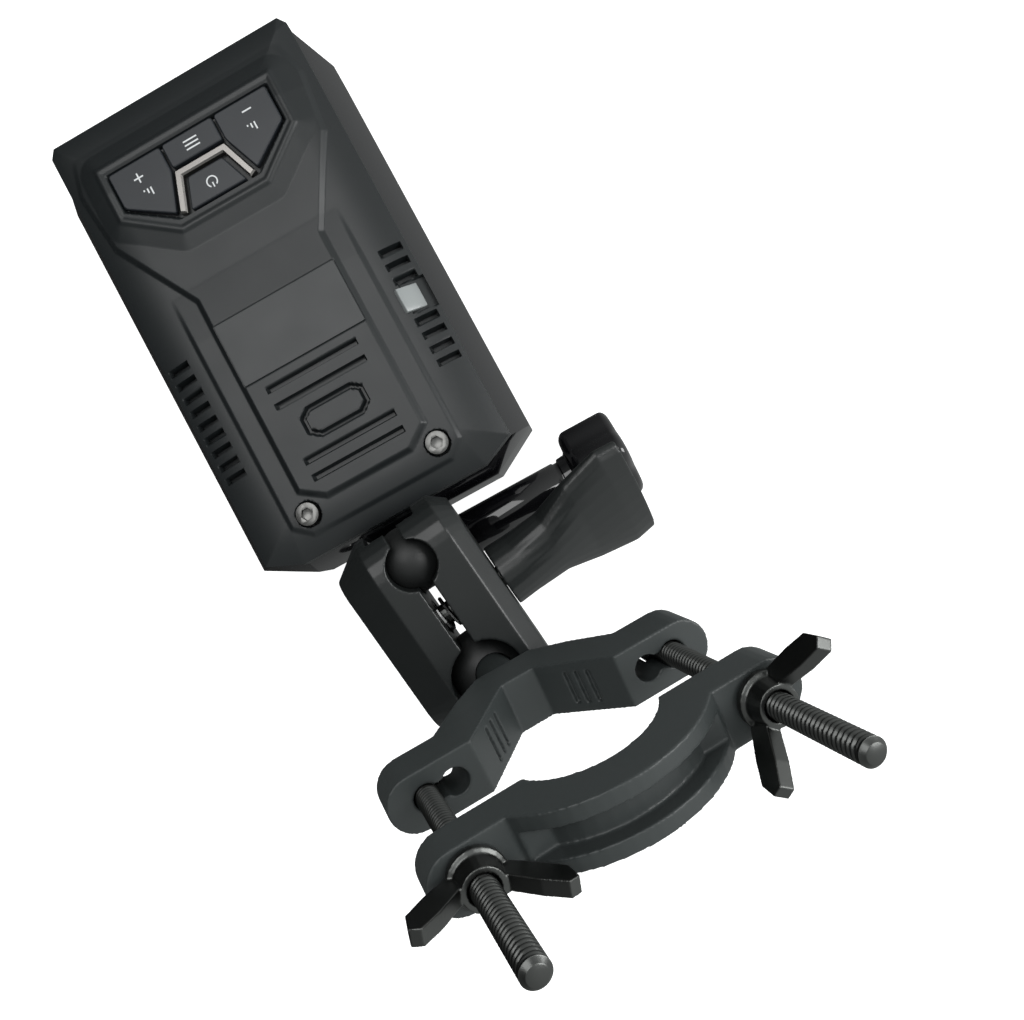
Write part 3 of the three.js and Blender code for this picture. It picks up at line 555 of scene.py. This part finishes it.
def printed(name, shapes, node):
    """Thin white marks on a key's top."""
    bm = bmesh.new()
    for outline in shapes:
        add_loft(bm, [(KEY_TOP_Z - 0.05, outline), (KEY_TOP_Z + PRINT_HEIGHT, outline)])
    obj = piece(name, bm, UNIT, None, BODY_OF[node])
    obj.data.materials.append(PRINT_WHITE)


def bar(cx, cy, length, width=0.34):
    return box_outline(cx - length / 2, cy - width / 2, cx + length / 2, cy + width / 2)


def upright(cx, cy, length, width=0.34):
    return box_outline(cx - width / 2, cy - length / 2, cx + width / 2, cy + length / 2)


def level_marks(cx, cy):
    """Three uprights that grow, as a sign for volume."""
    return [upright(cx + 0.85 * k, cy - 0.35 * k, 1.1 + 0.7 * k) for k in (-1, 0, 1)]


def power_mark(cx, cy, radius=1.05, width=0.3):
    """An open ring with an upright in its gap."""
    shapes = [upright(cx, cy - radius * 0.75, radius * 1.1, width)]
    steps = 20
    start, end = math.radians(-55), math.radians(235)
    for k in range(steps):
        a, b = (start + (end - start) * n / steps for n in (k, k + 1))
        shapes.append([(cx + r * math.cos(t), cy + r * math.sin(t))
                       for r, t in ((radius, a), (radius + width, a), (radius + width, b), (radius, b))])
    return shapes


plus_at = (-14.2, 35.6)
printed("print_volume_up", [bar(*plus_at, 2.3), upright(plus_at[0], plus_at[1] + 0.67, 0.98),
                            upright(plus_at[0], plus_at[1] - 0.67, 0.98), *level_marks(-13.6, 32)],
        "button_volume_up")
printed("print_volume_down", [bar(14.2, 36.6, 2.3), *level_marks(13.6, 33)], "button_volume_down")
printed("print_menu", [bar(0, 36.5 + 0.95 * k, 3.4) for k in (-1, 0, 1)], "button_menu")
printed("print_power", power_mark(0, 26.6), "button_power")

TRIM = [
    (-9.7, 24.0), (-8.1, 23.2), (-5.2, 31.1), (5.2, 31.1),
    (8.1, 23.2), (9.7, 24.0), (6.5, 32.9), (-6.5, 32.9),
]
trim_layers = [(KEY_LOW_Z, TRIM), (KEY_TOP_Z - 0.2, TRIM), (KEY_TOP_Z + 0.2, inset(TRIM, 0.35))]
smooth(piece("chevron_trim", add_loft(bmesh.new(), trim_layers), UNIT, "power_trim"), 20)

plate = rounded(box_outline(-15.25, -16.85, 15.25, -1.75), 0.5)
LABEL_Z = FIELD_Z + BASE_RISE + CORE_RISE
label_layers = [(LABEL_Z - 0.3, plate), (LABEL_Z - 0.02, plate), (LABEL_Z + 0.03, inset(plate, 0.06))]
smooth(piece("blank_label", add_loft(bmesh.new(), label_layers), UNIT, "label_plate"), 14)

# ---------- detector pieces taken from the CAD with softer edges ----------

bevelled("front_shell", "front_case", 0.5, 3)
bevelled("display_lens", "lens", 0.2)
bevelled("sensor_window", "side_window", 0.25)
for side in ("left", "right"):
    bevelled(f"case_screw_{side}", f"screw_{side}", 0.18)

# ---------- mount ----------


def hexagon(across_corners, turn=0.0):
    """The radius of a hexagon as a function of the angle."""
    flat = across_corners / 2 * math.cos(math.pi / 6)

    def radius(angle):
        folded = (angle + turn) % (math.pi / 3) - math.pi / 6
        return flat / math.cos(folded)

    return radius


def thread_rows(low, high, radius, pitch, depth, steps=8):
    """Rows of a threaded stretch: the radius winds up along Z."""
    rows = []
    count = int((high - low) / pitch * steps)
    for k in range(count + 1):
        z = low + (high - low) * k / count
        fade = min(1, (z - low) / pitch, (high - z) / (0.7 * pitch))

        def radius_at(angle, z=z, fade=fade):
            phase = (z / pitch - angle / (2 * math.pi)) % 1
            valley = max(0, 1 - abs(phase - 0.5) / 0.42)
            return radius - depth * valley * max(0, fade)

        rows.append((z, radius_at))
    return rows


def clamp_bolt(node, side, name):
    """A hexagon head, a threaded shaft and a rounded tip."""
    head_top = -SADDLE_THICK + 3.1
    head = hexagon(8)
    rows = [(head_top - 3, 3.4), (head_top - 2.7, head), (head_top - 0.1, head), (head_top, BOLT_RADIUS)]
    rows += thread_rows(head_top + 0.3, BOLT_TIP_Z - 0.8, BOLT_RADIUS, BOLT_PITCH, 0.42)
    rows += [(BOLT_TIP_Z - 0.75, BOLT_RADIUS - 0.1), (BOLT_TIP_Z - 0.1, BOLT_RADIUS - 0.6),
             (BOLT_TIP_Z, BOLT_RADIUS - 0.75)]
    smooth(piece(name, tube_of_rows(rows, 36), CLAMP @ Matrix.Translation((side * BOLT_X, 0, 0)), node), 40)


clamp_bolt("clamp_bolt_left", -1, "bolt_left")
clamp_bolt("clamp_bolt_right", 1, "bolt_right")


def saddle_cutters():
    """Three grooves across each slanting face of the saddle's vee."""
    cutters = []
    run, drop = VEE_MOUTH_HALF - VEE_FLAT_HALF, VEE_DEPTH
    length = math.hypot(run, drop)
    for side in (-1, 1):
        middle = Vector((side * (VEE_FLAT_HALF + VEE_MOUTH_HALF) / 2, 0, -VEE_DEPTH / 2))
        along = Vector((side * run / length, 0, drop / length))
        out = Vector((-side * drop / length, 0, run / length))
        for k in (-1, 0, 1):
            centre = middle + along * 2.5 * k
            bm = bmesh.new()
            half = 0.5
            corners = [centre + along * a * half + Vector((0, b * 3.4, 0)) + out * c
                       for c in (-0.8, 1.0) for a, b in ((-1, -1), (1, -1), (1, 1), (-1, 1))]
            verts = [bm.verts.new(c) for c in corners]
            for face in ((0, 1, 2, 3), (7, 6, 5, 4), (0, 4, 5, 1), (1, 5, 6, 2), (2, 6, 7, 3), (3, 7, 4, 0)):
                bm.faces.new([verts[n] for n in face])
            cutters.append(loose(bm, CLAMP))
    return cutters


moulded("saddle", "saddle_body", 0.25, 5, saddle_cutters())
moulded("jaw", "jaw_body", 0.25, 5)
moulded("wing_nut_left", "nut_left_body", 0.14, 5)
moulded("wing_nut_right", "nut_right_body", 0.14, 5)
moulded("arm_shell_left", "arm_left", 0.22, 7)
moulded("arm_shell_right", "arm_right", 0.22, 7)
moulded("wing_knob", "arm_wing", 0.25, 10)
moulded("ball_adapter", "adapter_body", 0.2, 4)
moulded("unit_bracket", "bracket_body", 0.2, 4)


def ball_coat(node, radius, hole, place, name):
    """A rubber shell round a ball, open where the stem leaves and closed at the far pole."""
    inner = radius - BALL_COAT
    start_out, start_in = math.asin(hole / radius), math.asin(hole / inner)
    steps = 40
    outer = [(radius * math.sin(a), radius * math.cos(a)) for a in np.linspace(start_out, math.pi, steps)]
    lining = [(inner * math.sin(a), inner * math.cos(a)) for a in np.linspace(math.pi, start_in, steps)]
    bm = ring_of_profile(outer + lining, 72)
    bmesh.ops.remove_doubles(bm, verts=bm.verts, dist=0.0001)
    bridge = [edge for edge in bm.edges if all(math.hypot(*v.co.xy) < 0.001 for v in edge.verts)]
    bmesh.ops.delete(bm, geom=bridge, context="EDGES_FACES")
    smooth(piece(name, bm, place, node), 40)


ball_coat("upper_ball_coat", UPPER_RADIUS, UPPER_STEM_HOLE, UPPER_COAT, "upper_coat")
ball_coat("lower_ball_coat", LOWER_RADIUS, LOWER_STEM_HOLE, LOWER_COAT, "lower_coat")


def thumb_screw():
    """A threaded end, a plain shaft, a sleeve with a collar and a knob with four lobes."""
    end = (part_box("thumb_screw")[1].x - joint_point("detector_tilt").x) / MM
    knob_low, knob_high, edge = end - 13, end, 2.2

    def lobes(scale):
        return lambda angle: scale * (9.2 + 1.35 * math.cos(4 * angle))

    rows = [(-16.5, 1.9)] + thread_rows(-16, -9, 2.5, 0.8, 0.35)
    rows += [(-8.9, 2.5), (7.9, 2.5), (8.05, 4.9), (8.4, 5.25)]
    collar = [(-3.8, 5.25), (-3.5, 4.9), (-2.6, 4.9), (-2.3, 5.5), (-0.4, 5.7), (-0.1, 6.2)]
    rows += [(knob_low + z, radius) for z, radius in collar]
    steps = 8
    for k in range(steps + 1):
        turn = k / steps * math.pi / 2
        rows.append((knob_low + edge * (1 - math.cos(turn)), lobes(0.72 + 0.28 * math.sin(turn))))
    for k in range(steps + 1):
        t = k / steps
        rows.append((knob_high - edge * (1 - math.sin(t * math.pi / 2)) * 0.8,
                     lobes(0.78 + 0.22 * math.cos(t * math.pi / 2))))
    smooth(piece("thumb_screw_body", tube_of_rows(rows, 96), THUMB, "thumb_screw"), 50)


thumb_screw()
bevelled("cap_nut", "nut_cap", 0.25)

# ---------- CAD nodes that are shown as they are ----------

for name, node in frame["nodes"].items():
    if node.hide_render:
        continue
    node.data.materials.clear()
    node.data.materials.append(FINISH[SLOT_OF[name]])

# ---------- stage, light and camera ----------


def floor():
    bm = bmesh.new()
    half = 3.0
    corners = [(-half, -half, -0.0003), (half, -half, -0.0003), (half, half, -0.0003), (-half, half, -0.0003)]
    bm.faces.new([bm.verts.new(c) for c in corners])
    mesh = bpy.data.meshes.new("floor")
    bm.to_mesh(mesh)
    bm.free()
    obj = bpy.data.objects.new("floor", mesh)
    bpy.context.scene.collection.objects.link(obj)
    pale = material("pale_floor", (0.6, 0.61, 0.605), 0.7, uneven=0.02)
    shader = pale.node_tree.nodes["Principled BSDF"]
    shader.inputs["Emission Color"].default_value = (1, 1, 1, 1)
    shader.inputs["Emission Strength"].default_value = 0.95
    mesh.materials.append(pale)
    obj.visible_glossy = False


def soft_light(name, where, towards, size, power):
    data = bpy.data.lights.new(name, "AREA")
    data.shape = "RECTANGLE"
    data.size, data.size_y = size
    data.energy = power
    light = bpy.data.objects.new(name, data)
    light.location = where
    light.rotation_euler = (Vector(towards) - Vector(where)).to_track_quat("-Z", "Y").to_euler()
    bpy.context.scene.collection.objects.link(light)


floor()
soft_light("key_light", (-0.09, 0.25, 0.8), (0, 0.03, 0.03), (0.55, 0.45), 2.2)
soft_light("side_light", (0.6, -0.15, 0.45), (0, -0.03, 0.03), (0.3, 0.5), 3)

world = bpy.data.worlds.new("studio")
bpy.context.scene.world = world
world.use_nodes = True
world_nodes, world_links = world.node_tree.nodes, world.node_tree.links
background = world_nodes["Background"]
background.inputs["Color"].default_value = (0.97, 1, 0.99, 1)
direction = world_nodes.new("ShaderNodeTexCoord")
towards_light = world_nodes.new("ShaderNodeVectorMath")
towards_light.operation = "DOT_PRODUCT"
towards_light.inputs[1].default_value = (0.83, -0.45, 0.33)
fade = world_nodes.new("ShaderNodeMapRange")
fade.inputs["From Min"].default_value = -0.6
fade.inputs["From Max"].default_value = 0.8
fade.inputs["To Min"].default_value = 0.03
fade.inputs["To Max"].default_value = 0.7
world_links.new(direction.outputs["Generated"], towards_light.inputs[0])
world_links.new(towards_light.outputs["Value"], fade.inputs["Value"])
world_links.new(fade.outputs["Result"], background.inputs["Strength"])

scene = bpy.context.scene
scene.view_settings.view_transform = "Standard"
scene.view_settings.look = "None"

# The camera, in metres, from the middle of the case
CAMERA_ACROSS = 0.03721
CAMERA_ALONG = -0.07662
CAMERA_HEIGHT = 0.24651
CAMERA_LENS = 35.16

shell_low, shell_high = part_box("front_shell")
shell_middle = (shell_low + shell_high) / 2
camera_data = bpy.data.cameras.new("camera")
camera_data.lens = CAMERA_LENS
camera_data.sensor_width = 36
camera = bpy.data.objects.new("camera", camera_data)
right = Vector((0.8763, -0.4753, -0.0782)).normalized()
back = Vector((0.0628, -0.0482, 0.9969)).normalized()
up = back.cross(right).normalized()
right = up.cross(back)
camera_place = (shell_middle.x + CAMERA_ACROSS, shell_middle.y + CAMERA_ALONG, CAMERA_HEIGHT)
camera_turn = Matrix((right, up, back)).transposed().to_4x4()
camera.matrix_world = Matrix.Translation(camera_place) @ camera_turn
scene.collection.objects.link(camera)
scene.camera = camera
